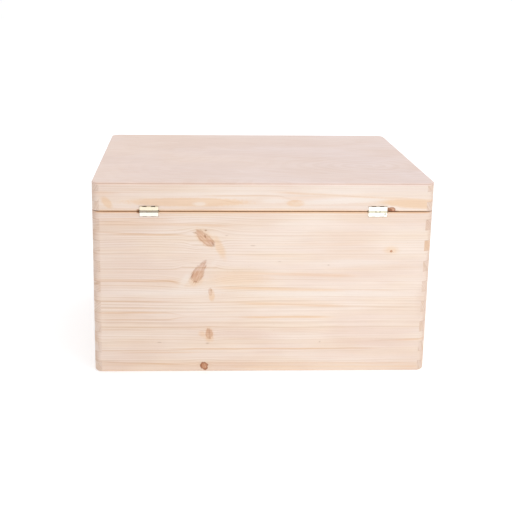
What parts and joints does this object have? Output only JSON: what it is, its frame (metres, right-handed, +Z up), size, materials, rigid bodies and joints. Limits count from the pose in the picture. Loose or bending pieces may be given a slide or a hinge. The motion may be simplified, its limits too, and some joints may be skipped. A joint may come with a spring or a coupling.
{
  "type": "wooden toy box",
  "caption": "Plain pine toy box with finger-jointed corners, a plywood bottom, hand holes in the sides and a plywood-topped lid that opens on brass hinges pressed into saw kerfs.",
  "frame": {"origin": "centre of the underside of the box, on the surface that it stands on", "axes": "+X along the width towards the right side as seen from the front, +Y towards the back where the hinges are, +Z up"},
  "size_m": [0.4, 0.3012, 0.235],
  "materials": {
    "pine": "sanded, unfinished",
    "plywood": "sanded, unfinished",
    "hinge_brass": "bright plated"
  },
  "bodies": {
    "box": {"back_panel": "pine", "front_panel": "pine", "left_panel": "pine", "right_panel": "pine", "bottom_panel": "plywood", "left_hinge_body_leaf": "hinge_brass", "right_hinge_body_leaf": "hinge_brass", "left_hinge_pin": "hinge_brass", "right_hinge_pin": "hinge_brass"},
    "lid": {"lid_back_rail": "pine", "lid_front_rail": "pine", "lid_left_rail": "pine", "lid_right_rail": "pine", "lid_top_panel": "plywood", "left_hinge_lid_leaf": "hinge_brass", "right_hinge_lid_leaf": "hinge_brass"}
  },
  "joints": [
    {"name": "lid_hinge", "type": "hinge", "parent": "box", "child": "lid", "pos_m": [0, 0.15, 0.2005], "axis": [-1, 0, 0], "range_deg": [0, 95]}
  ]
}
